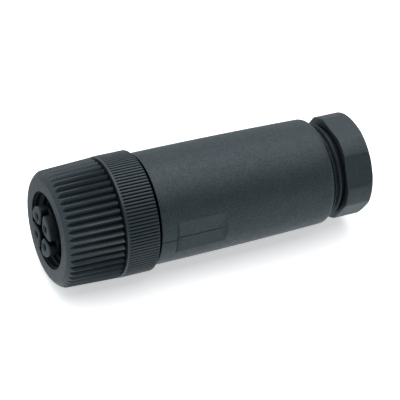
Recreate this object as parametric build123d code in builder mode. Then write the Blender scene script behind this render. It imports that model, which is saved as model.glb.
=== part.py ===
from build123d import *
import os
from math import cos, radians, sin

# Straight four-pole circular connector with M12 x 1 screw coupling, socket contacts, screw terminals
# and a cable gland. The axis is X: the contact face is at x = 0 and the cable leaves towards +X.
# The part lies on two teeth of the knurled ring, with a flat of the hexagon facing down.
# All sizes are in millimetres; angles are in degrees about the axis, from +Y towards +Z.

# Contact insert and its face
insert_radius = 4.15
insert_proud = 1.0
contact_count = 4
contact_pitch_radius = 2.5
contact_angle = 42.5
pin_hole_radius = 0.6
pin_hole_length = 0.9
pin_hole_countersink = 0.25
face_slot_width = 0.95
face_slot_depth = 1.4
petal_inner_corner = 1.1
petal_outer_corner = 0.8
petal_edge = 0.2
keyway_width = 1.2
keyway_depth = 0.75
keyway_length = 6.0

# Coupling nut
nut_length = 9.45
nut_step = 0.08
nut_taper = 0.37
nut_front_round = 1.2
nut_round_sweep = 45.0
flute_count = 48
flute_angle = 6.1
flute_depth = 0.33
flute_crest_overrun = 0.04
thread_entry_radius = 6.39
thread_entry_depth = 0.3
thread_run_in = 1.1
thread_minor_radius = 5.5
thread_length = 5.6
thread_relief_radius = 6.1
collar_length = 1.25
collar_play = 0.2
bead_length = 1.0
bead_catch = 0.3
bead_ramp = 0.25
neck_radius = 4.95
nut_running_clearance = 0.08
nut_gap = 0.41

# Knurled ring with the threaded shank that screws into the housing
ring_length = 5.59
ring_radius = 10.06
ring_rim_length = 0.5
ring_rim_drop = 0.05
ring_rim_edge = 0.15
ring_web_length = 1.3
ring_sleeve_wall = 0.83
ring_thread_length = 6.35
ring_thread_clearance = 0.05
ring_clearance = 0.02
knurl_count = 112
knurl_depth = 0.24

# Terminal block of the contact carrier
block_radius = 5.9
block_length = 8.0

# Contacts and terminal screws
socket_radius = 0.95
socket_depth = 6.0
terminal_radius = 1.5
terminal_length = 8.6
terminal_setback = 0.4
socket_slit_width = 0.25
wire_hole_radius = 0.85
wire_hole_depth = 6.5
screw_radius = 0.9
screw_length = 2.2
screw_setback = 2.9
screw_tip_gap = 0.1
screw_slot_width = 0.4
screw_slot_depth = 0.6
contact_clearance = 0.03

# Rubber rings
face_seal_section = 1.2
face_seal_edge = 0.25
body_seal_section = 0.9
seal_seat = 0.03

# Housing
groove_width = 0.83
groove_wall = 0.59
housing_front_radius = 9.33
housing_rear_wall = 0.9
housing_straight_length = 13.7
housing_front_edge = 0.15
housing_rear_chamfer = 0.45
chamber_clearance = 0.4
wire_room = 2.4
web_length = 1.2
web_radius = 4.4
pad_angle = 177.2
pad_setback = 2.6
pad_length = 8.62
pad_depth = 0.45

# Cable gland: seal, clamping cage and pressing screw
seal_length = 5.0
seal_bore_radius = 3.2
seal_edge = 0.4
seal_clearance = 0.1
seal_chamber_radius = 6.95
cage_nose = 0.8
cage_seat_radius = 6.65
cage_seat_depth = 1.8
cage_clearance = 0.12
cage_flange_length = 1.6
cage_slot_count = 8
cage_slot_width = 0.9
cage_tip_wall = 0.6
cone_length = 5.7
passage_radius = 4.1
passage_mouth = 0.7
gland_thread_radius = 7.97
gland_thread_clearance = 0.08
gland_thread_end_gap = 0.4
gland_entry = 0.12
thread_shown = 2.0
shank_length = 9.0
shank_relief_length = 0.62
shank_relief_radius = 7.3
shank_lead_in = 0.5
head_length = 4.9
head_across_flats = 16.5
head_corner_radius = 8.7
head_front_edge = 0.2
head_rear_chamfer = 0.42
hex_angle = 30.0

# Stations along the axis, from the contact face to the cable end
nut_front = insert_proud
nut_rear = nut_front + nut_length
thread_front = nut_front + thread_run_in
thread_end = nut_front + thread_length
collar_front = nut_rear - collar_length
bead_rear = collar_front - collar_play
bead_front = bead_rear - bead_length
ring_front = nut_rear + nut_gap
knurl_front = ring_front + ring_rim_length
ring_rear = ring_front + ring_length
housing_front = ring_rear + groove_width
ring_web_rear = ring_front + ring_web_length
ring_thread_end = ring_rear + ring_thread_length
block_end = ring_thread_end + block_length
web_front = block_end + wire_room
seal_front = web_front + web_length
seal_rear = seal_front + seal_length
cage_front = seal_rear + thread_shown
shank_front = cage_front + cage_nose
cone_start = shank_front + cage_seat_depth
cone_end = cone_start + cone_length
head_front = shank_front + shank_length
head_rear = head_front + head_length
housing_rear = head_front - thread_shown
pad_middle = housing_front + pad_setback + pad_length / 2
gland_thread_front = shank_front - thread_shown - gland_thread_end_gap

# Radii and angles that follow from a fit
collar_radius = neck_radius + nut_running_clearance
bead_radius = collar_radius + bead_catch
nut_rear_radius = ring_radius - nut_step
nut_front_radius = nut_rear_radius - nut_taper
nut_face_radius = nut_front_radius - nut_front_round
nut_face_edge = (nut_front, nut_face_radius)
nut_round_end = (
    nut_front + nut_front_round * (1 - cos(radians(nut_round_sweep))),
    nut_face_radius + nut_front_round * sin(radians(nut_round_sweep)),
)
flute_root_radius = nut_front_radius - flute_depth
flute_crest_radius = nut_rear_radius + flute_crest_overrun
ring_rim_radius = ring_radius - ring_rim_drop
ring_web_bore_radius = bead_radius + ring_clearance
ring_bore_radius = block_radius + ring_clearance
ring_thread_radius = ring_bore_radius + ring_sleeve_wall
ring_seat_radius = ring_thread_radius + ring_thread_clearance
chamber_radius = block_radius + chamber_clearance
gland_bore_radius = gland_thread_radius + gland_thread_clearance
housing_rear_radius = gland_bore_radius + housing_rear_wall
seal_radius = seal_chamber_radius - seal_clearance
cage_radius = cage_seat_radius - cage_clearance
cage_tip_radius = passage_radius + cage_tip_wall
body_seal_room = body_seal_section + 2 * seal_seat
groove_radius = ring_thread_radius + body_seal_room + groove_wall
pad_radius = housing_front_radius - pad_depth
cone_slope = (cage_seat_radius - passage_radius) / cone_length
cage_tip = cone_start + (cage_radius - cage_tip_radius) / cone_slope
terminal_end = block_end - terminal_setback
terminal_start = terminal_end - terminal_length
terminal_bore_length = terminal_length + terminal_setback + contact_clearance
screw_station = terminal_end - screw_setback
screw_tip_radius = contact_pitch_radius + wire_hole_radius + screw_tip_gap
contact_angles = [contact_angle + 360 / contact_count * number for number in range(contact_count)]
slot_angles = [angle + 180 / contact_count for angle in contact_angles]

os.makedirs("parts", exist_ok=True)


def around(radius, angle):
    """Point of the cross-section at a radius and an angle about the axis."""
    return (radius * cos(radians(angle)), radius * sin(radians(angle)))


def toothed_outline(count, root, crest, start):
    """Closed ring of pointed teeth from a start angle, as points that alternate between root and crest."""
    step = 360 / count
    corners = []
    for tooth in range(count):
        corners.append(around(root, start + (tooth - 0.5) * step))
        corners.append(around(crest, start + tooth * step))
    return corners


def radial_plane(station, angle):
    """Plane through the axis at a station, facing outwards at an angle about the axis."""
    return Plane(origin=(station, 0, 0), x_dir=(1, 0, 0), z_dir=(0, *around(1, angle)))


def finish(piece, name):
    """Label a finished piece and write it."""
    piece.part.label = name
    export_step(piece.part, f"parts/{name}.step")
    print(name, "solids", len(piece.part.solids()), "volume", round(piece.part.volume, 1))


# Coupling nut: a tapered ring with straight flutes that run out in its rounded front edge
flutes = toothed_outline(flute_count, flute_root_radius, flute_crest_radius, flute_angle)
with BuildPart() as coupling_nut:
    with BuildSketch(Plane.YZ.offset(nut_front)):
        with BuildLine():
            Polyline(*flutes, close=True)
        make_face()
    extrude(amount=nut_length)
    with BuildSketch(Plane.XY):
        with BuildLine():
            Polyline(
                nut_round_end,
                (nut_front + nut_front_round, nut_front_radius),
                (nut_rear, nut_rear_radius),
                (nut_rear, 0),
                (nut_front, 0),
                nut_face_edge,
            )
            RadiusArc(nut_face_edge, nut_round_end, nut_front_round)
        make_face()
    revolve(axis=Axis.X, mode=Mode.INTERSECT)
    with BuildSketch(Plane.XY):
        with BuildLine():
            Polyline(
                (nut_front, 0),
                (nut_front, thread_entry_radius),
                (nut_front + thread_entry_depth, thread_entry_radius),
                (nut_front + thread_entry_depth, thread_relief_radius),
                (thread_front, thread_relief_radius),
                (thread_front + thread_relief_radius - thread_minor_radius, thread_minor_radius),
                (thread_end, thread_minor_radius),
                (thread_end, thread_relief_radius),
                (collar_front, thread_relief_radius),
                (collar_front, collar_radius),
                (nut_rear, collar_radius),
                (nut_rear, 0),
                close=True,
            )
        make_face()
    revolve(axis=Axis.X, mode=Mode.SUBTRACT)
finish(coupling_nut, "coupling_nut")

# Contact carrier: insert, snap bead, neck for the nut and terminal block in one moulding
with BuildPart() as contact_carrier:
    with BuildSketch(Plane.XY):
        with BuildLine():
            Polyline(
                (face_slot_depth, 0),
                (face_slot_depth, insert_radius),
                (bead_front, insert_radius),
                (bead_front, bead_radius - bead_ramp),
                (bead_front + bead_ramp, bead_radius),
                (bead_rear, bead_radius),
                (bead_rear, neck_radius),
                (ring_front, neck_radius),
                (ring_front, bead_radius),
                (ring_web_rear, bead_radius),
                (ring_web_rear, block_radius),
                (block_end, block_radius),
                (block_end, 0),
                close=True,
            )
        make_face()
    revolve(axis=Axis.X)
    with BuildSketch(Plane.YZ) as petals:
        Circle(insert_radius)
        for angle in slot_angles:
            with Locations(around(insert_radius, angle)):
                Rectangle(2 * insert_radius, face_slot_width, rotation=angle, mode=Mode.SUBTRACT)
        fillet(petals.vertices().sort_by_distance((0, 0, 0))[:contact_count], petal_inner_corner)
        fillet(petals.vertices().sort_by_distance((0, 0, 0))[-2 * contact_count:], petal_outer_corner)
    extrude(amount=face_slot_depth)
    chamfer(faces().filter_by(Plane.YZ).group_by(Axis.X)[0].edges(), petal_edge)
    with BuildSketch(Plane.YZ):
        with Locations(around(insert_radius, slot_angles[-1])):
            Rectangle(2 * keyway_depth, keyway_width, rotation=slot_angles[-1])
    extrude(amount=keyway_length, mode=Mode.SUBTRACT)
    contact_bores = (
        (0, pin_hole_radius, pin_hole_length),
        (pin_hole_length, socket_radius + contact_clearance, terminal_start - pin_hole_length),
        (terminal_start - contact_clearance, terminal_radius + contact_clearance, terminal_bore_length),
    )
    for start, radius, length in contact_bores:
        with BuildSketch(Plane.YZ.offset(start)):
            with PolarLocations(contact_pitch_radius, contact_count, start_angle=contact_angle):
                Circle(radius)
        extrude(amount=length, mode=Mode.SUBTRACT)
    with BuildSketch(Plane.YZ):
        with PolarLocations(contact_pitch_radius, contact_count, start_angle=contact_angle):
            Circle(pin_hole_radius + pin_hole_countersink)
    extrude(amount=pin_hole_countersink, taper=45, mode=Mode.SUBTRACT)
    for angle in contact_angles:
        with BuildSketch(radial_plane(screw_station, angle).offset(contact_pitch_radius)):
            Circle(screw_radius + contact_clearance)
        extrude(amount=block_radius, mode=Mode.SUBTRACT)
finish(contact_carrier, "contact_carrier")

# Knurled ring: a gripping collar on a threaded sleeve, pushed over the contact carrier from the front
knurl = toothed_outline(knurl_count, ring_radius - knurl_depth, ring_radius, 180 / knurl_count)
with BuildPart() as knurled_ring:
    with BuildSketch(Plane.XY):
        with BuildLine():
            Polyline(
                (ring_front, ring_web_bore_radius),
                (ring_front, ring_rim_radius - ring_rim_edge),
                (ring_front + ring_rim_edge, ring_rim_radius),
                (knurl_front, ring_rim_radius),
                (knurl_front, ring_thread_radius),
                (ring_thread_end, ring_thread_radius),
                (ring_thread_end, ring_bore_radius),
                (ring_web_rear, ring_bore_radius),
                (ring_web_rear, ring_web_bore_radius),
                close=True,
            )
        make_face()
    revolve(axis=Axis.X)
    with BuildSketch(Plane.YZ.offset(knurl_front)):
        with BuildLine():
            Polyline(*knurl, close=True)
        make_face()
        Circle((ring_bore_radius + ring_thread_radius) / 2, mode=Mode.SUBTRACT)
    extrude(amount=ring_rear - knurl_front)
finish(knurled_ring, "knurled_ring")

# Four turned contacts: a slit socket in front, a terminal with a wire hole and a screw hole behind
for number, angle in enumerate(contact_angles, start=1):
    with BuildPart() as contact:
        with BuildSketch(Plane.YZ.offset(pin_hole_length + contact_clearance)):
            with Locations(around(contact_pitch_radius, angle)):
                Circle(socket_radius)
        extrude(amount=terminal_start - pin_hole_length - contact_clearance)
        with BuildSketch(Plane.YZ.offset(terminal_start)):
            with Locations(around(contact_pitch_radius, angle)):
                Circle(terminal_radius)
        extrude(amount=terminal_length)
        with BuildSketch(Plane.YZ):
            with Locations(around(contact_pitch_radius, angle)):
                Circle(pin_hole_radius)
                Rectangle(4 * socket_radius, socket_slit_width, rotation=angle)
        extrude(amount=socket_depth, mode=Mode.SUBTRACT)
        with BuildSketch(Plane.YZ.offset(terminal_end - wire_hole_depth)):
            with Locations(around(contact_pitch_radius, angle)):
                Circle(wire_hole_radius)
        extrude(amount=wire_hole_depth, mode=Mode.SUBTRACT)
        with BuildSketch(radial_plane(screw_station, angle).offset(contact_pitch_radius)):
            Circle(screw_radius + contact_clearance)
        extrude(amount=2 * terminal_radius, mode=Mode.SUBTRACT)
    finish(contact, f"contact_{number}")

# Terminal screws: four slotted grub screws, one over each wire hole
with BuildPart() as terminal_screws:
    for angle in contact_angles:
        tip = radial_plane(screw_station, angle).offset(screw_tip_radius)
        with BuildSketch(tip):
            Circle(screw_radius)
        extrude(amount=screw_length)
        with BuildSketch(tip.offset(screw_length - screw_slot_depth)):
            Rectangle(4 * screw_radius, screw_slot_width)
        extrude(amount=screw_slot_depth, mode=Mode.SUBTRACT)
finish(terminal_screws, "terminal_screws")

# Face seal: the ring at the root of the insert that the mating half presses on
with BuildPart() as face_seal:
    with BuildSketch(Plane.XY) as face_seal_profile:
        half = face_seal_section / 2 + seal_seat
        with Locations((bead_front - half, insert_radius + half)):
            Rectangle(face_seal_section, face_seal_section)
        chamfer(face_seal_profile.vertices().group_by(Axis.X)[0], face_seal_edge)
    revolve(axis=Axis.X)
finish(face_seal, "face_seal")

# Body seal: the ring between the knurled ring and the housing
with BuildPart() as body_seal:
    with BuildSketch(Plane.XY):
        with Locations((ring_rear + body_seal_room / 2, ring_thread_radius + body_seal_room / 2)):
            Rectangle(body_seal_section, body_seal_section)
    revolve(axis=Axis.X)
finish(body_seal, "body_seal")

# Housing: a sleeve that tapers towards the cable, with a sunk flat on each side, threaded at both ends
with BuildPart() as housing:
    with BuildSketch(Plane.XY):
        with BuildLine():
            Polyline(
                (ring_rear, ring_thread_radius + body_seal_room),
                (ring_rear, groove_radius),
                (housing_front, groove_radius),
                (housing_front, housing_front_radius - housing_front_edge),
                (housing_front + housing_front_edge, housing_front_radius),
                (housing_front + housing_straight_length, housing_front_radius),
                (housing_rear - housing_rear_chamfer, housing_rear_radius),
                (housing_rear, housing_rear_radius - housing_rear_chamfer),
                (housing_rear, gland_bore_radius + gland_entry),
                (housing_rear - gland_entry, gland_bore_radius),
                (gland_thread_front, gland_bore_radius),
                (gland_thread_front, seal_chamber_radius),
                (seal_front, seal_chamber_radius),
                (seal_front, web_radius),
                (web_front, web_radius),
                (web_front, chamber_radius),
                (ring_thread_end, chamber_radius),
                (ring_thread_end, ring_seat_radius),
                (ring_rear + body_seal_room, ring_seat_radius),
                (ring_rear + body_seal_room, ring_thread_radius + body_seal_room),
                close=True,
            )
        make_face()
    revolve(axis=Axis.X)
    for angle in (pad_angle, pad_angle + 180):
        with BuildSketch(radial_plane(pad_middle, angle).offset(pad_radius)):
            Rectangle(pad_length, 2 * housing_front_radius)
        extrude(amount=housing_front_radius, taper=-45, mode=Mode.SUBTRACT)
finish(housing, "housing")

# Cable seal: a rubber sleeve between the web of the housing and the clamping cage
with BuildPart() as cable_seal:
    with BuildSketch(Plane.XY):
        with BuildLine():
            Polyline(
                (seal_front, seal_bore_radius + seal_edge),
                (seal_front, seal_radius - seal_edge),
                (seal_front + seal_edge, seal_radius),
                (seal_rear - seal_edge, seal_radius),
                (seal_rear, seal_radius - seal_edge),
                (seal_rear, seal_bore_radius + seal_edge),
                (seal_rear - seal_edge, seal_bore_radius),
                (seal_front + seal_edge, seal_bore_radius),
                close=True,
            )
        make_face()
    revolve(axis=Axis.X)
finish(cable_seal, "cable_seal")

# Clamping cage: a flange with tapered fingers that the cone of the pressing screw closes on the cable
with BuildPart() as clamping_cage:
    with BuildSketch(Plane.XY):
        with BuildLine():
            Polyline(
                (cage_front, passage_radius),
                (cage_front, cage_radius),
                (cone_start, cage_radius),
                (cage_tip, cage_tip_radius),
                (cage_tip, passage_radius),
                close=True,
            )
        make_face()
    revolve(axis=Axis.X)
    with BuildSketch(Plane.YZ.offset(cage_front + cage_flange_length)):
        with PolarLocations(cage_radius, cage_slot_count):
            Rectangle(2 * cage_radius - passage_radius, cage_slot_width)
    extrude(amount=cage_tip - cage_front, mode=Mode.SUBTRACT)
finish(clamping_cage, "clamping_cage")

# Pressing screw: a hexagon head with turned corners on a threaded hollow shank
with BuildPart() as pressing_screw:
    with BuildSketch(Plane.YZ.offset(head_front)):
        RegularPolygon(head_across_flats / 2, 6, major_radius=False, rotation=hex_angle - 30)
    extrude(amount=head_length)
    with BuildSketch(Plane.XY):
        with BuildLine():
            Polyline(
                (head_front, 0),
                (head_front, head_corner_radius - head_front_edge),
                (head_front + head_front_edge, head_corner_radius),
                (head_rear - head_rear_chamfer, head_corner_radius),
                (head_rear, head_corner_radius - head_rear_chamfer),
                (head_rear, 0),
                close=True,
            )
        make_face()
    revolve(axis=Axis.X, mode=Mode.INTERSECT)
    with BuildSketch(Plane.XY):
        with BuildLine():
            Polyline(
                (shank_front, 0),
                (shank_front, gland_thread_radius - shank_lead_in),
                (shank_front + shank_lead_in, gland_thread_radius),
                (head_front - shank_relief_length, gland_thread_radius),
                (head_front - shank_relief_length, shank_relief_radius),
                (head_front + head_length / 2, shank_relief_radius),
                (head_front + head_length / 2, 0),
                close=True,
            )
        make_face()
    revolve(axis=Axis.X)
    with BuildSketch(Plane.XY):
        with BuildLine():
            Polyline(
                (shank_front, 0),
                (shank_front, cage_seat_radius),
                (cone_start, cage_seat_radius),
                (cone_end, passage_radius),
                (head_rear - passage_mouth, passage_radius),
                (head_rear, passage_radius + passage_mouth),
                (head_rear, 0),
                close=True,
            )
        make_face()
    revolve(axis=Axis.X, mode=Mode.SUBTRACT)
finish(pressing_screw, "pressing_screw")
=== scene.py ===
import math

import bpy
import numpy as np
from mathutils import Matrix, Vector


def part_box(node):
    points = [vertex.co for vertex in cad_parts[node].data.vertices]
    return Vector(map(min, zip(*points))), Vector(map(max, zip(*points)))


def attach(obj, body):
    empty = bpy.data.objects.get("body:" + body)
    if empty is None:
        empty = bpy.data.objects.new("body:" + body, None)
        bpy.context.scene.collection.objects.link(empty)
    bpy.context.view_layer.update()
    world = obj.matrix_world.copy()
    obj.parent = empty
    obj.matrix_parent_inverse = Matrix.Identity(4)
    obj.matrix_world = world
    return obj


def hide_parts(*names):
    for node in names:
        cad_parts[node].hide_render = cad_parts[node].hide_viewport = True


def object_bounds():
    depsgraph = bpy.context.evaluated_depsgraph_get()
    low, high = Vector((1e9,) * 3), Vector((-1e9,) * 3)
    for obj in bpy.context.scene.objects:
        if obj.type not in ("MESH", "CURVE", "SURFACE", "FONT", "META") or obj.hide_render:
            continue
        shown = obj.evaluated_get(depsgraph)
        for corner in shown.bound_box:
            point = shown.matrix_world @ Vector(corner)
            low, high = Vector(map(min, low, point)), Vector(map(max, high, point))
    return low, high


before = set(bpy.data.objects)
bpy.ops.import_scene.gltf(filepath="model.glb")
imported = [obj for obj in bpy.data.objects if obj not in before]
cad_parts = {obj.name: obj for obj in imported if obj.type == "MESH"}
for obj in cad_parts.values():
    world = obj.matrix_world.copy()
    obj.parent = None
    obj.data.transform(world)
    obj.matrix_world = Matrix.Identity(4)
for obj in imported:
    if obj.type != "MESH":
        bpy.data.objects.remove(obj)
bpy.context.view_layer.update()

# The part lies along X, contact face at x = 0. Sizes are in millimetres and angles in degrees about the
# axis, from +Y towards +Z, so 90 is the top and 180 faces the viewer.
MM = 0.001

# Coupling nut
NUT_FRONT_RADIUS = 9.61
NUT_FRONT_ROUND = 1.2
NUT_ROUND_POWER = 1.4
NUT_EDGE = 0.07
FLUTE_COUNT = 48
FLUTE_SAMPLES = 16
FLUTE_ANGLE = 2.35
FLUTE_ROOT_FRONT = 9.02
FLUTE_ROOT_REAR = 9.2
FLUTE_CREST_RISE = 0.02
FLUTE_BLEND = 0.012
FLUTE_ROOT_ROUND = 0.03
THREAD_ENTRY_RADIUS = 6.39
THREAD_ENTRY_DEPTH = 0.3
THREAD_RUN_IN = 1.1
THREAD_TURN = 0.537
THREAD_MINOR_RADIUS = 5.5
THREAD_DEPTH = 0.54
THREAD_PITCH = 1.0
THREAD_END = 6.6
THREAD_RELIEF_RADIUS = 6.1
THREAD_ROWS_PER_PITCH = 12
THREAD_FORM = (1.25, 0.1)
THREAD_ROW_INSET = 0.01
COLLAR_FRONT = 9.2
COLLAR_RADIUS = 5.03
NUT_ROUND_ROWS = 22
NUT_TAPER_ROWS = 12

# Knurled ring
RING_RIM_LENGTH = 0.34
RING_RIM_DROP = 0.05
RING_EDGE = 0.07
KNURL_COUNT = 112
KNURL_SAMPLES = 8
KNURL_ROOT_RADIUS = 9.78
KNURL_CREST_RADIUS = 10.28
KNURL_BLEND = 0.03
KNURL_RUN_IN = 0.16
KNURL_ROWS_START = 0.5
KNURL_ROWS = 8
RING_LENGTH = 5.59
RING_WEB_LENGTH = 1.3
RING_WEB_BORE = 5.35
RING_BORE = 5.92
RING_SHANK_RADIUS = 6.75

# Housing
HOUSING_FRONT_RADIUS = 9.33
HOUSING_REAR_RADIUS = 8.95
HOUSING_CROWN = 0.13
HOUSING_FRONT_EDGE = 0.1
HOUSING_REAR_ROUND = 0.85
HOUSING_REAR_SETBACK = 0.42
GROOVE_WIDTH = 0.66
GROOVE_RADIUS = 8.3
CHAMBER_RADIUS = 6.3
RING_SEAT_RADIUS = 6.8
SEAL_ROOM = 0.96
WEB_RADIUS = 4.4
WEB_LENGTH = 1.2
GLAND_BORE_RADIUS = 8.05
GLAND_ENTRY = 0.12
GLAND_BORE_FRONT = 39.8
SEAL_CLEARANCE = 0.1
PAD_ANGLE = 177.2
PAD_SETBACK = 2.77
PAD_LENGTH = 8.62
PAD_RADIUS = 8.88
PAD_BLEND = 0.004
PAD_FRONT_SLOPE = 5.0
PAD_NOTCH_WIDTH = 0.22
PAD_NOTCH_DEPTH = 0.12
PARTING_ANGLE = 177.6
PARTING_WIDTH = 0.17
PARTING_DEPTH = 0.09
PARTING_REAR_SHARE = 0.06
PARTING_SPAN = 1.2
PARTING_STEP = 0.1
HOUSING_COLUMNS = 540
HOUSING_ROWS_START = 0.4

# Pressing screw
SCREW_THREAD_RADIUS = 7.97
SCREW_THREAD_DEPTH = 0.56
SCREW_LEAD_IN = 0.5
SCREW_RELIEF_LENGTH = 0.72
SCREW_RELIEF_RADIUS = 7.1
SCREW_THREAD_TURN = 0.187
SCREW_THREAD_FORM = (1.3, 0.14)
SCREW_RUN_OUT_SLOPE = 8.0
SCREW_COLUMNS = 720
SCREW_RELIEF_INSET = 0.02
HEAD_ROWS_START = 0.5
HEAD_ROWS = 6
HEAD_LENGTH = 4.9
HEAD_ACROSS_FLATS = 16.5
HEAD_CORNER_RADIUS = 8.7
HEAD_CORNER_BLEND = 0.08
HEAD_FRONT_EDGE = 0.18
HEAD_REAR_CHAMFER = 0.42
HEAD_REAR_EDGE = 0.12
HEX_ANGLE = 30.0
CAGE_SEAT_RADIUS = 6.65
CAGE_SEAT_DEPTH = 1.8
CONE_LENGTH = 5.7
PASSAGE_RADIUS = 4.1
PASSAGE_MOUTH = 0.7

# Colours, linear
GREY = (0.0165, 0.0235, 0.0280)
SHEEN = (0.88, 1.0, 1.06, 1.0)
RUBBER = (0.012, 0.012, 0.013)
GOLD = (0.80, 0.58, 0.25)
STEEL = (0.56, 0.56, 0.55)

# Painted shade in hollows: how far round a point counts, between which shares of open view colour and sheen
# are darkened, and the share of them that is left in the deepest painted shade
HOLLOW_SHADE_REACH = 1.6
HOLLOW_SHADE_FULL = 0.3
HOLLOW_SHADE_NONE = 0.9
HOLLOW_SHADE_LEFT = 0.12
FLUTE_SHADE_REACH = 1.1
KNURL_SHADE_REACH = 0.2
THREAD_SHADE_REACH = 0.9
CARRIER_SHADE_REACH = 4.0
# Sheen left on the nut's inner faces, which get a darker copy of the plastic as painted shade
BORE_SHADE_SHEEN = 0.14

# Texture: sizes of the features and depths of the relief
CLOUD_SIZE = 2.5
SHEEN_SIZE = 1.2
SHEEN_VARY = 0.04
SINK_SIZE = 4.0
SINK_DEPTH = 0.012
SPECKLE_SIZE = 0.25
METAL_CLOUD_SIZE = 1.0
METAL_SHEEN_SIZE = 0.4
METAL_SHEEN_VARY = 0.06
TOOL_MARK_SIZE = 0.15
TOOL_MARK_DEPTH = 0.004
NOISE_LOW = 0.3
NOISE_HIGH = 0.7
PLASTIC_IOR = 1.5

# Camera at the photograph's viewing angle. The part is shown rolled about its axis from how it lies, so
# the camera is placed for a level axis and then turned back by the roll.
SHOWN_ROLL = 12.0
CAMERA_TARGET = (27.5, -1.3, 0.0)
CAMERA_DISTANCE = 325.9
CAMERA_AZIMUTH = -25.29
CAMERA_ELEVATION = 28.80
CAMERA_LENS = 178.83


def ends(node):
    """Front and rear station of a CAD node along the axis, in millimetres."""
    low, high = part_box(node)
    return low.x / MM, high.x / MM


def evenly(count):
    """Angles all round the axis, in degrees, with equal steps."""
    return np.arange(count) * 360.0 / count


def smaller(a, b, blend):
    """The lower of two surfaces, with the edge where they cross rounded over about the blend."""
    share = np.clip(0.5 + (b - a) / (2 * blend), 0, 1)
    return b + (a - b) * share - blend * share * (1 - share)


def larger(a, b, blend):
    """The higher of two surfaces, with the inner corner rounded over about the blend."""
    return -smaller(-a, -b, blend)


def saw(turns):
    """Triangle wave from 0 at whole turns to 1 half-way between them."""
    return np.abs((turns + 0.5) % 1.0 - 0.5) * 2.0


def thread_share(station, angles, turn, form):
    """Share of the thread's depth at every angle of a station, with the slope and flat of the form."""
    slope, flat = form
    return np.clip(slope * saw(station / THREAD_PITCH - angles / 360 + turn) - flat, 0, 1)


def turned(name, rows, angles):
    """Closed mesh from a loop of rows around the axis: each has a station and a radius at every angle."""
    turn = np.radians(angles)
    columns = len(angles)
    points = []
    for station, radius in rows:
        ring = np.empty((columns, 3))
        ring[:, 0] = station
        ring[:, 1] = radius * np.cos(turn)
        ring[:, 2] = radius * np.sin(turn)
        points.append(ring)
    index = np.arange(len(rows) * columns).reshape(len(rows), columns)
    after = np.roll(index, -1, axis=1)
    below = np.roll(index, -1, axis=0)
    corner = np.roll(after, -1, axis=0)
    quads = np.stack([index, after, corner, below], axis=-1).reshape(-1, 4)
    mesh = bpy.data.meshes.new(name)
    mesh.from_pydata((np.concatenate(points) * MM).tolist(), [], quads.tolist())
    mesh.validate()
    mesh.shade_smooth()
    mesh.set_sharp_from_angle(angle=math.radians(40))
    piece = bpy.data.objects.new(name, mesh)
    bpy.context.scene.collection.objects.link(piece)
    return piece


def dress(piece, material, body, node):
    """Give a new piece its material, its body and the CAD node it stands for."""
    piece.data.materials.append(material)
    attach(piece, body)
    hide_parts(node)
    return piece


def rounded_rim(station, radius, edge, steps=4):
    """Rows of a rounded rear outer edge that ends on the flat face at the station."""
    rows = []
    for step in range(steps + 1):
        turn = math.radians(90 * step / steps)
        rows.append((station - edge + edge * math.sin(turn), radius - edge + edge * math.cos(turn)))
    return rows


def front_rim(station, radius, edge, steps=4):
    """Rows of a rounded front outer edge that starts on the flat face at the station."""
    rows = []
    for step in range(steps + 1):
        turn = math.radians(90 * step / steps)
        rows.append((station + edge - edge * math.cos(turn), radius - edge + edge * math.sin(turn)))
    return rows


# Coupling nut: straight V flutes that run out in the rounded front edge, and an M12 x 1 thread inside
def nut_body(station):
    """Radius of the nut's plain form at a station: the rounded front edge, then a slight taper."""
    front, rear = ends("coupling_nut")
    rear_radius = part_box("coupling_nut")[1].z / MM
    short = NUT_FRONT_ROUND - (station - front)
    if short > 0:
        rise = NUT_FRONT_ROUND ** NUT_ROUND_POWER - min(short, NUT_FRONT_ROUND) ** NUT_ROUND_POWER
        return NUT_FRONT_RADIUS - NUT_FRONT_ROUND + rise ** (1 / NUT_ROUND_POWER)
    return NUT_FRONT_RADIUS - short * (rear_radius - NUT_FRONT_RADIUS) / (rear - front - NUT_FRONT_ROUND)


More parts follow.
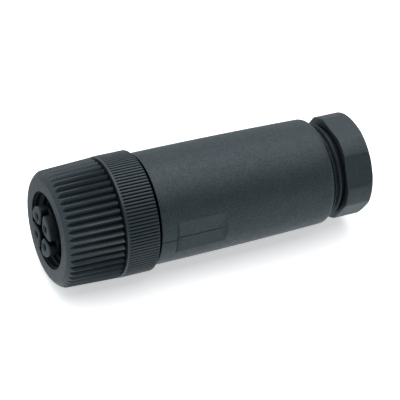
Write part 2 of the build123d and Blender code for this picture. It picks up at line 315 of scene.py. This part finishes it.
def make_nut():
    front, rear = ends("coupling_nut")
    angles = evenly(FLUTE_COUNT * FLUTE_SAMPLES)
    ridge = saw((angles - FLUTE_ANGLE) * FLUTE_COUNT / 360)
    rear_radius = nut_body(rear)

    def fluted(station):
        share = (station - front) / (rear - front)
        root = FLUTE_ROOT_FRONT + share * (FLUTE_ROOT_REAR - FLUTE_ROOT_FRONT)
        crest = NUT_FRONT_RADIUS + share * (rear_radius - NUT_FRONT_RADIUS) + FLUTE_CREST_RISE
        tooth = larger(root + (crest - root) * ridge, root + FLUTE_ROOT_ROUND, FLUTE_ROOT_ROUND)
        return smaller(tooth, nut_body(station), FLUTE_BLEND)

    rows = []
    arc = front + NUT_FRONT_ROUND * (1 - np.cos(np.radians(np.linspace(0, 90, NUT_ROUND_ROWS))))
    taper = np.linspace(front + NUT_FRONT_ROUND, rear - NUT_EDGE, NUT_TAPER_ROWS)[1:]
    for station in np.concatenate([arc, taper]):
        rows.append((station, fluted(station)))
    rows += rounded_rim(rear, fluted(rear), NUT_EDGE)[1:]
    rows += [(rear, COLLAR_RADIUS + NUT_EDGE), (rear - NUT_EDGE, COLLAR_RADIUS)]
    rows += [(COLLAR_FRONT, COLLAR_RADIUS), (COLLAR_FRONT, THREAD_RELIEF_RADIUS)]
    rows += [(THREAD_END, THREAD_RELIEF_RADIUS)]
    thread_front = front + THREAD_RUN_IN
    count = int((THREAD_END - thread_front) / THREAD_PITCH * THREAD_ROWS_PER_PITCH)
    for station in np.linspace(THREAD_END - THREAD_ROW_INSET, thread_front + THREAD_ROW_INSET, count):
        helix = THREAD_MINOR_RADIUS + THREAD_DEPTH * thread_share(station, angles, THREAD_TURN, THREAD_FORM)
        lead_in = THREAD_RELIEF_RADIUS - (station - thread_front)
        rows.append((station, np.maximum(helix, lead_in)))
    mouth = front + THREAD_ENTRY_DEPTH
    rows += [(mouth + NUT_EDGE, THREAD_RELIEF_RADIUS), (mouth, THREAD_RELIEF_RADIUS + NUT_EDGE)]
    rows += [(mouth, THREAD_ENTRY_RADIUS), (front + NUT_EDGE, THREAD_ENTRY_RADIUS)]
    rows += [(front, THREAD_ENTRY_RADIUS + NUT_EDGE)]
    return turned("coupling_nut_shell", rows, angles)


# Knurled ring: a smooth front rim, then straight fine knurling, on a sleeve that goes into the housing
def make_ring():
    front, rear = ends("knurled_ring")
    ring_rear = front + RING_LENGTH
    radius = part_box("knurled_ring")[1].z / MM
    angles = evenly(KNURL_COUNT * KNURL_SAMPLES)
    ridge = saw(angles * KNURL_COUNT / 360)
    tooth = KNURL_ROOT_RADIUS + (KNURL_CREST_RADIUS - KNURL_ROOT_RADIUS) * ridge
    knurl = smaller(tooth, radius, KNURL_BLEND)
    knurl_front = front + RING_RIM_LENGTH
    rows = [(front, RING_WEB_BORE)]
    rim = radius - RING_RIM_DROP
    rows += front_rim(front, rim, RING_EDGE)
    rows += [(knurl_front - RING_EDGE / 2, rim)]
    for share in (0.0, 0.25, 0.5, 0.75, 1.0):
        rows.append((knurl_front + share * KNURL_RUN_IN, rim + share * (knurl - rim)))
    straight = np.linspace(knurl_front + KNURL_ROWS_START, ring_rear - RING_EDGE, KNURL_ROWS)
    rows += [(station, knurl) for station in straight]
    rows += rounded_rim(ring_rear, knurl, RING_EDGE)[1:]
    rows += [(ring_rear, RING_SHANK_RADIUS), (rear, RING_SHANK_RADIUS), (rear, RING_BORE)]
    rows += [(front + RING_WEB_LENGTH, RING_BORE), (front + RING_WEB_LENGTH, RING_WEB_BORE)]
    return turned("knurled_ring_shell", rows, angles)


# Housing: a tapered sleeve with a smooth flat on each side and the mould's parting lines
def housing_angles():
    """Even angles, with extra ones across the two parting lines."""
    fine = np.arange(-PARTING_SPAN, PARTING_SPAN + PARTING_STEP / 10, PARTING_STEP)
    lines = [PARTING_ANGLE + fine, (PARTING_ANGLE + 180) % 360 + fine]
    return np.unique(np.concatenate([evenly(HOUSING_COLUMNS), *lines]).round(4))


def make_housing():
    low, high = ends("housing")
    high -= HOUSING_REAR_SETBACK
    front = low + GROOVE_WIDTH
    angles = housing_angles()
    pad_front = front + PAD_SETBACK
    pad_rear = pad_front + PAD_LENGTH
    middle = (front + high) / 2
    from_line = np.abs((angles - PARTING_ANGLE + 90) % 180 - 90)
    line = PARTING_DEPTH * np.clip(1 - from_line / np.degrees(PARTING_WIDTH / HOUSING_FRONT_RADIUS), 0, 1)
    off_flat = np.radians((angles - PAD_ANGLE + 90) % 180 - 90)
    flat = PAD_RADIUS / np.cos(np.clip(off_flat, -1, 1))

    def sleeve(station):
        aside = (station - middle) / (high - middle)
        mean = (HOUSING_FRONT_RADIUS + HOUSING_REAR_RADIUS) / 2
        taper = aside * (HOUSING_REAR_RADIUS - HOUSING_FRONT_RADIUS) / 2
        return mean + taper + HOUSING_CROWN * (1 - aside ** 2)

    def skin(station):
        ramp = max(PAD_FRONT_SLOPE * (pad_front - station), station - pad_rear, 0.0)
        notch = PAD_NOTCH_DEPTH * max(0.0, 1 - abs(station - pad_front) / PAD_NOTCH_WIDTH)
        radius = smaller(np.full(len(angles), sleeve(station)), flat + ramp - notch, PAD_BLEND)
        return radius - line * (1.0 if station < pad_rear else PARTING_REAR_SHARE)

    ramp_length = HOUSING_FRONT_RADIUS - PAD_RADIUS
    ramp = np.linspace(0, 1.05 * ramp_length, 8)
    stations = np.concatenate([
        np.linspace(front + HOUSING_ROWS_START, pad_front - 1.2 * ramp_length, 4),
        pad_front - ramp[::-1] / PAD_FRONT_SLOPE,
        pad_front + PAD_NOTCH_WIDTH * np.array([0.25, 0.5, 0.75, 1.0]),
        np.linspace(pad_front + PAD_NOTCH_WIDTH, pad_rear, 10)[1:-1],
        pad_rear + ramp,
        np.linspace(pad_rear + 1.2 * ramp_length, high - HOUSING_REAR_ROUND, 16),
    ])
    rows = [(low, RING_SHANK_RADIUS + SEAL_ROOM), (low, GROOVE_RADIUS), (front, GROOVE_RADIUS)]
    rows += front_rim(front, sleeve(front) - line, HOUSING_FRONT_EDGE)
    rows += [(station, skin(station)) for station in stations]
    rows += rounded_rim(high, skin(high), HOUSING_REAR_ROUND, 8)[1:]
    seal_front = ends("cable_seal")[0]
    seal_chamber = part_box("cable_seal")[1].z / MM + SEAL_CLEARANCE
    ring_rear = ends("knurled_ring")[1]
    web_front = seal_front - WEB_LENGTH
    seal_seat = low + SEAL_ROOM
    rows += [(high, GLAND_BORE_RADIUS + GLAND_ENTRY), (high - GLAND_ENTRY, GLAND_BORE_RADIUS)]
    rows += [(GLAND_BORE_FRONT, GLAND_BORE_RADIUS), (GLAND_BORE_FRONT, seal_chamber)]
    rows += [(seal_front, seal_chamber), (seal_front, WEB_RADIUS)]
    rows += [(web_front, WEB_RADIUS), (web_front, CHAMBER_RADIUS)]
    rows += [(ring_rear, CHAMBER_RADIUS), (ring_rear, RING_SEAT_RADIUS), (seal_seat, RING_SEAT_RADIUS)]
    rows += [(seal_seat, RING_SHANK_RADIUS + SEAL_ROOM)]
    return turned("housing_shell", rows, angles)


# Pressing screw: an M16 x 1 thread, an undercut and a hexagon head with turned corners
def make_screw():
    front, rear = ends("pressing_screw")
    head_front = rear - HEAD_LENGTH
    angles = evenly(SCREW_COLUMNS)
    off_flat = np.radians((angles - HEX_ANGLE + 30) % 60 - 30)
    hexagon = HEAD_ACROSS_FLATS / 2 / np.cos(off_flat)
    head = smaller(hexagon, HEAD_CORNER_RADIUS, HEAD_CORNER_BLEND)
    head_end = smaller(hexagon, HEAD_CORNER_RADIUS - HEAD_REAR_CHAMFER, HEAD_CORNER_BLEND)
    relief_front = head_front - SCREW_RELIEF_LENGTH
    rows = [(front, CAGE_SEAT_RADIUS)]
    count = int((relief_front - front) / THREAD_PITCH * THREAD_ROWS_PER_PITCH)
    for station in np.linspace(front, relief_front, count):
        depth = SCREW_THREAD_DEPTH * thread_share(station, angles, SCREW_THREAD_TURN, SCREW_THREAD_FORM)
        helix = SCREW_THREAD_RADIUS - depth
        lead_in = SCREW_THREAD_RADIUS - SCREW_LEAD_IN + (station - front)
        run_out = SCREW_RELIEF_RADIUS + (relief_front - station) * SCREW_RUN_OUT_SLOPE
        rows.append((station, np.minimum(np.minimum(helix, lead_in), run_out)))
    relief = [relief_front + SCREW_RELIEF_INSET, head_front]
    rows += [(station, SCREW_RELIEF_RADIUS) for station in relief]
    rows += front_rim(head_front, head, HEAD_FRONT_EDGE)
    straight = np.linspace(head_front + HEAD_ROWS_START, rear - HEAD_REAR_CHAMFER, HEAD_ROWS)
    rows += [(station, head) for station in straight]
    for share in (0.25, 0.5, 0.75):
        limit = HEAD_CORNER_RADIUS - share * HEAD_REAR_CHAMFER
        rows.append((rear - (1 - share) * HEAD_REAR_CHAMFER, smaller(hexagon, limit, HEAD_CORNER_BLEND)))
    rows += rounded_rim(rear, head_end, HEAD_REAR_EDGE)[1:]
    cone_start = front + CAGE_SEAT_DEPTH
    rows += [(rear, PASSAGE_RADIUS + PASSAGE_MOUTH), (rear - PASSAGE_MOUTH, PASSAGE_RADIUS)]
    rows += [(cone_start + CONE_LENGTH, PASSAGE_RADIUS), (cone_start, CAGE_SEAT_RADIUS)]
    return turned("pressing_screw_shell", rows, angles)


# Materials
def shader(name):
    """New node material and its principled shader."""
    material = bpy.data.materials.new(name)
    material.use_nodes = True
    return material, material.node_tree.nodes["Principled BSDF"]


def noise(tree, size, detail=3.0, rough=0.5):
    """Noise over the piece's own coordinates with features of about the given size in millimetres."""
    place = tree.nodes.new("ShaderNodeTexCoord")
    texture = tree.nodes.new("ShaderNodeTexNoise")
    texture.inputs["Scale"].default_value = 1 / (size * MM)
    texture.inputs["Detail"].default_value = detail
    texture.inputs["Roughness"].default_value = rough
    tree.links.new(place.outputs["Object"], texture.inputs["Vector"])
    return texture.outputs["Fac"]


def spread(tree, value, low, high):
    """Map a noise value to a range."""
    node = tree.nodes.new("ShaderNodeMapRange")
    node.inputs["From Min"].default_value = NOISE_LOW
    node.inputs["From Max"].default_value = NOISE_HIGH
    node.inputs["To Min"].default_value = low
    node.inputs["To Max"].default_value = high
    tree.links.new(value, node.inputs["Value"])
    return node.outputs["Result"]


def tint(tree, value, colour, vary):
    """Colour that the noise value moves a little darker and lighter."""
    node = tree.nodes.new("ShaderNodeMix")
    node.data_type = "RGBA"
    node.inputs["A"].default_value = [c * (1 - vary) for c in colour] + [1]
    node.inputs["B"].default_value = [c * (1 + vary) for c in colour] + [1]
    tree.links.new(spread(tree, value, 0.0, 1.0), node.inputs["Factor"])
    return node.outputs["Result"]


def bump(tree, height, depth, before=None):
    """Bump of the given depth in millimetres, on top of an earlier one where there is one."""
    node = tree.nodes.new("ShaderNodeBump")
    node.inputs["Strength"].default_value = 1.0
    node.inputs["Distance"].default_value = depth * MM
    tree.links.new(height, node.inputs["Height"])
    if before is not None:
        tree.links.new(before, node.inputs["Normal"])
    return node.outputs["Normal"]


def painted_hollow_shade(tree, reach):
    """Painted shade: low in narrow hollows, where little light gets in, and 1 on open surfaces."""
    around = tree.nodes.new("ShaderNodeAmbientOcclusion")
    around.samples = 8
    around.inputs["Distance"].default_value = reach * MM
    clear = tree.nodes.new("ShaderNodeMapRange")
    clear.inputs["From Min"].default_value = HOLLOW_SHADE_FULL
    clear.inputs["From Max"].default_value = HOLLOW_SHADE_NONE
    clear.inputs["To Min"].default_value = HOLLOW_SHADE_LEFT
    clear.inputs["To Max"].default_value = 1.0
    tree.links.new(around.outputs["AO"], clear.inputs["Value"])
    return clear.outputs["Result"]


def moulded(name, colour, roughness, grain, depth, reach=HOLLOW_SHADE_REACH, sheen=0.5, speckle=0.08, vary=0.08):
    """Moulded plastic or rubber: cloudy tone, uneven sheen, fine grain, shallow sink and painted shade in
    hollows.
    """
    material, principled = shader(name)
    tree = material.node_tree
    # Painted shade: in hollows both the colour and the sheen are darkened
    clear = painted_hollow_shade(tree, reach)
    shaded_tone = tree.nodes.new("ShaderNodeMix")
    shaded_tone.data_type = "RGBA"
    shaded_tone.blend_type = "MULTIPLY"
    shaded_tone.inputs["Factor"].default_value = 1.0
    tree.links.new(tint(tree, noise(tree, CLOUD_SIZE), colour, vary), shaded_tone.inputs["A"])
    tree.links.new(clear, shaded_tone.inputs["B"])
    tree.links.new(shaded_tone.outputs["Result"], principled.inputs["Base Color"])
    level = tree.nodes.new("ShaderNodeMath")
    level.operation = "MULTIPLY"
    tree.links.new(clear, level.inputs[0])
    speck = noise(tree, SPECKLE_SIZE, 1.0)
    tree.links.new(spread(tree, speck, sheen * (1 - speckle), sheen * (1 + speckle)), level.inputs[1])
    tree.links.new(level.outputs[0], principled.inputs["Specular IOR Level"])
    uneven = spread(tree, noise(tree, SHEEN_SIZE), roughness - SHEEN_VARY, roughness + SHEEN_VARY)
    tree.links.new(uneven, principled.inputs["Roughness"])
    sink = bump(tree, noise(tree, SINK_SIZE, 1.0), SINK_DEPTH)
    tree.links.new(bump(tree, noise(tree, grain, 2.0, 0.6), depth, sink), principled.inputs["Normal"])
    principled.inputs["IOR"].default_value = PLASTIC_IOR
    principled.inputs["Specular Tint"].default_value = SHEEN
    return material


def metal(name, colour, roughness):
    """Turned metal: fine bumps for tool marks and a slight change of tone."""
    material, principled = shader(name)
    tree = material.node_tree
    tone = tint(tree, noise(tree, METAL_CLOUD_SIZE), colour, METAL_SHEEN_VARY)
    tree.links.new(tone, principled.inputs["Base Color"])
    principled.inputs["Metallic"].default_value = 1.0
    uneven = noise(tree, METAL_SHEEN_SIZE)
    sheen = spread(tree, uneven, roughness - METAL_SHEEN_VARY, roughness + METAL_SHEEN_VARY)
    tree.links.new(sheen, principled.inputs["Roughness"])
    marks = bump(tree, noise(tree, TOOL_MARK_SIZE, 1.0), TOOL_MARK_DEPTH)
    tree.links.new(marks, principled.inputs["Normal"])
    return material


nut_grey = moulded("nut_plastic", GREY, 0.42, 0.25, 0.0012, reach=FLUTE_SHADE_REACH)
ring_grey = moulded("ring_plastic", GREY, 0.42, 0.25, 0.0012, reach=KNURL_SHADE_REACH)
grained_grey = moulded("grained_plastic", GREY, 0.5, 0.28, 0.05, speckle=0.3)
gland_grey = moulded("gland_plastic", GREY, 0.46, 0.28, 0.03, reach=THREAD_SHADE_REACH, speckle=0.2)
carrier_grey = moulded("carrier_plastic", GREY, 0.45, 0.25, 0.0015, reach=CARRIER_SHADE_REACH)
# Painted shade: a darker, less glossy copy of the plastic for the nut's inner faces
bore_shaded_grey = moulded("bore_plastic_painted_shade", [0.5 * c for c in GREY], 0.55, 0.25, 0.0015, sheen=BORE_SHADE_SHEEN)
cage_grey = moulded("cage_plastic", [0.8 * c for c in GREY], 0.5, 0.25, 0.0015)
rubber = moulded("seal_rubber", RUBBER, 0.62, 0.2, 0.003)
gold = metal("contact_gold", GOLD, 0.28)
steel = metal("screw_steel", STEEL, 0.34)

nut = dress(make_nut(), nut_grey, "coupling_nut", "coupling_nut")
# Painted shade: the nut's faces inside the thread entry get the darker copy of the plastic
nut.data.materials.append(bore_shaded_grey)
for face in nut.data.polygons:
    if math.hypot(face.center.y, face.center.z) < THREAD_ENTRY_RADIUS * MM:
        face.material_index = 1
dress(make_ring(), ring_grey, "connector", "knurled_ring")
dress(make_housing(), grained_grey, "connector", "housing")
dress(make_screw(), gland_grey, "pressing_screw", "pressing_screw")

node_materials = {
    "contact_carrier": carrier_grey,
    "clamping_cage": cage_grey,
    "terminal_screws": steel,
    "face_seal": rubber,
    "body_seal": rubber,
    "cable_seal": rubber,
    "contact_1": gold,
    "contact_2": gold,
    "contact_3": gold,
    "contact_4": gold,
}
for node, material in node_materials.items():
    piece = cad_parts[node]
    piece.data.materials.clear()
    piece.data.materials.append(material)


# Stage: white floor, soft light from above, camera. In reflections the floor shows a painted reflection
# instead: a glow, brighter in front of the part than behind it, with no shadow
FLOOR_SIZE = 6.0
FLOOR_COLOUR = 1.0
FLOOR_GLOW = 0.48
# Painted reflection: how bright the floor glows in reflections in front of the part and behind it, and the
# span along Y in millimetres where it fades between them
FLOOR_PAINTED_REFLECTION_FRONT = 1.0
FLOOR_PAINTED_REFLECTION_BACK = 0.62
FLOOR_FADE = (-10.0, 9.0)
LAMP_HEIGHT = 0.9
LAMP_PLACE = (0.22, 0.05)
LAMP_SIZE = 1.2
LAMP_POWER = 9.5
SKY_COLOUR = (0.93, 1.0, 1.04)
SKY_BRIGHT = 0.82
SKY_DARK = 0.0
SKY_DARK_WAY = (0.37, -0.48, 0.80)
SKY_DARK_SHARE = 0.92
SKY_BRIGHT_SHARE = 0.50


def make_floor():
    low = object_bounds()[0].z
    mesh = bpy.data.meshes.new("floor")
    half = FLOOR_SIZE / 2
    corners = [(-half, -half, low), (half, -half, low), (half, half, low), (-half, half, low)]
    mesh.from_pydata(corners, [], [(0, 1, 2, 3)])
    floor = bpy.data.objects.new("floor", mesh)
    bpy.context.scene.collection.objects.link(floor)
    material = bpy.data.materials.new("floor_white")
    material.use_nodes = True
    tree = material.node_tree
    tree.nodes.clear()
    path = tree.nodes.new("ShaderNodeLightPath")
    diffuse = tree.nodes.new("ShaderNodeBsdfDiffuse")
    diffuse.inputs["Color"].default_value = (FLOOR_COLOUR, FLOOR_COLOUR, FLOOR_COLOUR, 1)
    glow = tree.nodes.new("ShaderNodeEmission")
    strength = tree.nodes.new("ShaderNodeMath")
    strength.operation = "MULTIPLY"
    strength.inputs[1].default_value = FLOOR_GLOW
    tree.links.new(path.outputs["Is Camera Ray"], strength.inputs[0])
    tree.links.new(strength.outputs[0], glow.inputs["Strength"])
    both = tree.nodes.new("ShaderNodeAddShader")
    tree.links.new(diffuse.outputs[0], both.inputs[0])
    tree.links.new(glow.outputs[0], both.inputs[1])
    # Painted reflection: rays that bounce off the part see a glowing floor, graded from front to back, in
    # place of the lit one
    painted_reflection = tree.nodes.new("ShaderNodeEmission")
    painted_reflection.inputs["Color"].default_value = (*SKY_COLOUR, 1)
    spot = tree.nodes.new("ShaderNodeNewGeometry")
    parts = tree.nodes.new("ShaderNodeSeparateXYZ")
    tree.links.new(spot.outputs["Position"], parts.inputs[0])
    fade = tree.nodes.new("ShaderNodeMapRange")
    fade.interpolation_type = "SMOOTHSTEP"
    fade.inputs["From Min"].default_value = FLOOR_FADE[0] * MM
    fade.inputs["From Max"].default_value = FLOOR_FADE[1] * MM
    fade.inputs["To Min"].default_value = FLOOR_PAINTED_REFLECTION_FRONT
    fade.inputs["To Max"].default_value = FLOOR_PAINTED_REFLECTION_BACK
    tree.links.new(parts.outputs["Y"], fade.inputs["Value"])
    tree.links.new(fade.outputs["Result"], painted_reflection.inputs["Strength"])
    bounced = tree.nodes.new("ShaderNodeMath")
    bounced.operation = "MAXIMUM"
    tree.links.new(path.outputs["Is Glossy Ray"], bounced.inputs[0])
    tree.links.new(path.outputs["Is Transmission Ray"], bounced.inputs[1])
    either = tree.nodes.new("ShaderNodeMixShader")
    tree.links.new(bounced.outputs[0], either.inputs["Fac"])
    tree.links.new(both.outputs[0], either.inputs[1])
    tree.links.new(painted_reflection.outputs[0], either.inputs[2])
    out = tree.nodes.new("ShaderNodeOutputMaterial")
    tree.links.new(either.outputs[0], out.inputs["Surface"])
    mesh.materials.append(material)


def make_sky():
    world = bpy.data.worlds.new("studio")
    world.use_nodes = True
    bpy.context.scene.world = world
    tree = world.node_tree
    back = tree.nodes["Background"]
    place = tree.nodes.new("ShaderNodeTexCoord")
    near = tree.nodes.new("ShaderNodeVectorMath")
    near.operation = "DOT_PRODUCT"
    near.inputs[1].default_value = SKY_DARK_WAY
    tree.links.new(place.outputs["Generated"], near.inputs[0])
    rise = tree.nodes.new("ShaderNodeMapRange")
    rise.interpolation_type = "SMOOTHSTEP"
    rise.inputs["From Min"].default_value = SKY_BRIGHT_SHARE
    rise.inputs["From Max"].default_value = SKY_DARK_SHARE
    rise.inputs["To Min"].default_value = SKY_BRIGHT
    rise.inputs["To Max"].default_value = SKY_DARK
    tree.links.new(near.outputs["Value"], rise.inputs["Value"])
    tree.links.new(rise.outputs["Result"], back.inputs["Strength"])
    back.inputs["Color"].default_value = (*SKY_COLOUR, 1)


def make_lamp():
    data = bpy.data.lights.new("overhead", "AREA")
    data.energy = LAMP_POWER
    data.size = LAMP_SIZE
    lamp = bpy.data.objects.new("overhead", data)
    lamp.location = (*LAMP_PLACE, LAMP_HEIGHT)
    bpy.context.scene.collection.objects.link(lamp)


def make_camera():
    azimuth, elevation = math.radians(CAMERA_AZIMUTH), math.radians(CAMERA_ELEVATION)
    back = Vector((
        math.sin(azimuth) * math.cos(elevation),
        -math.cos(azimuth) * math.cos(elevation),
        math.sin(elevation),
    ))
    data = bpy.data.cameras.new("camera")
    data.lens = CAMERA_LENS
    data.sensor_width = 36.0
    data.clip_start = 0.01
    camera = bpy.data.objects.new("camera", data)
    place = Matrix.Translation((Vector(CAMERA_TARGET) + back * CAMERA_DISTANCE) * MM)
    aim = (-back).to_track_quat("-Z", "Y").to_matrix().to_4x4()
    camera.matrix_world = Matrix.Rotation(math.radians(-SHOWN_ROLL), 4, "X") @ place @ aim
    bpy.context.scene.collection.objects.link(camera)
    bpy.context.scene.camera = camera


make_floor()
make_sky()
make_lamp()
make_camera()
bpy.context.scene.view_settings.view_transform = "Standard"
